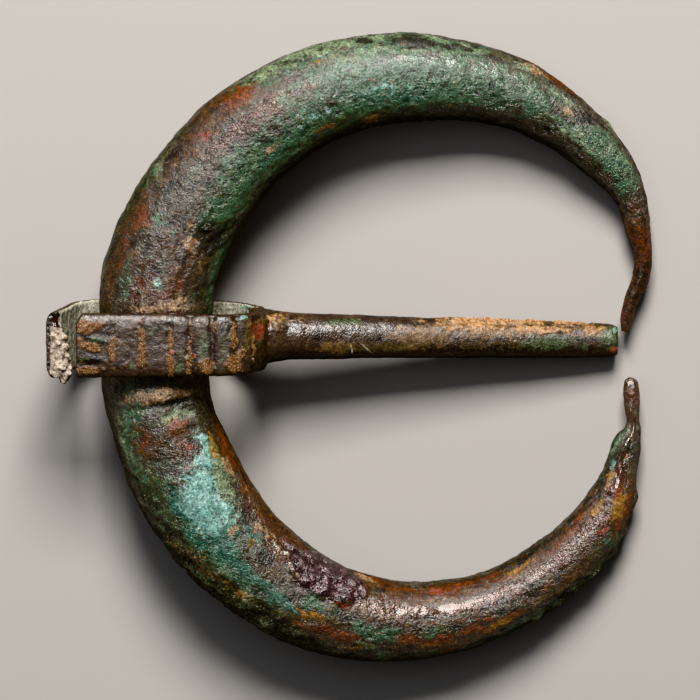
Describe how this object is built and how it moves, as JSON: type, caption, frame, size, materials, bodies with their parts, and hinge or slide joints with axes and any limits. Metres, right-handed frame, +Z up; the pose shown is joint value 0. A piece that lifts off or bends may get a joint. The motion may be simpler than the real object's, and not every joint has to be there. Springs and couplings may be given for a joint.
{
  "type": "penannular brooch",
  "caption": "Cast copper-alloy crescent hoop with tapering broken terminals, and a loose pin whose carved strap head wraps round the hoop and swings about it; worn and patinated.",
  "frame": {"origin": "middle of the footprint, on the surface that the brooch lies on", "axes": "+X from the pin's head towards the gap between the terminals, +Y across the pin's head, +Z up out of the front"},
  "size_m": [0.0486, 0.0508, 0.0118],
  "materials": {
    "patinated_bronze": "buried copper alloy: glossy brown patina under green and turquoise corrosion, with orange earth in the pits",
    "worn_bronze": "dark brown worn copper alloy, with sandy orange earth packed in the carved lines"
  },
  "bodies": {
    "hoop": {"hoop": "patinated_bronze"},
    "pin": {"pin": "worn_bronze"}
  },
  "joints": [
    {"name": "pin_swing", "type": "hinge", "parent": "hoop", "child": "pin", "pos_m": [-0.01537, 0.00108, 0.0059], "axis": [0, -1, 0], "continuous": true}
  ]
}
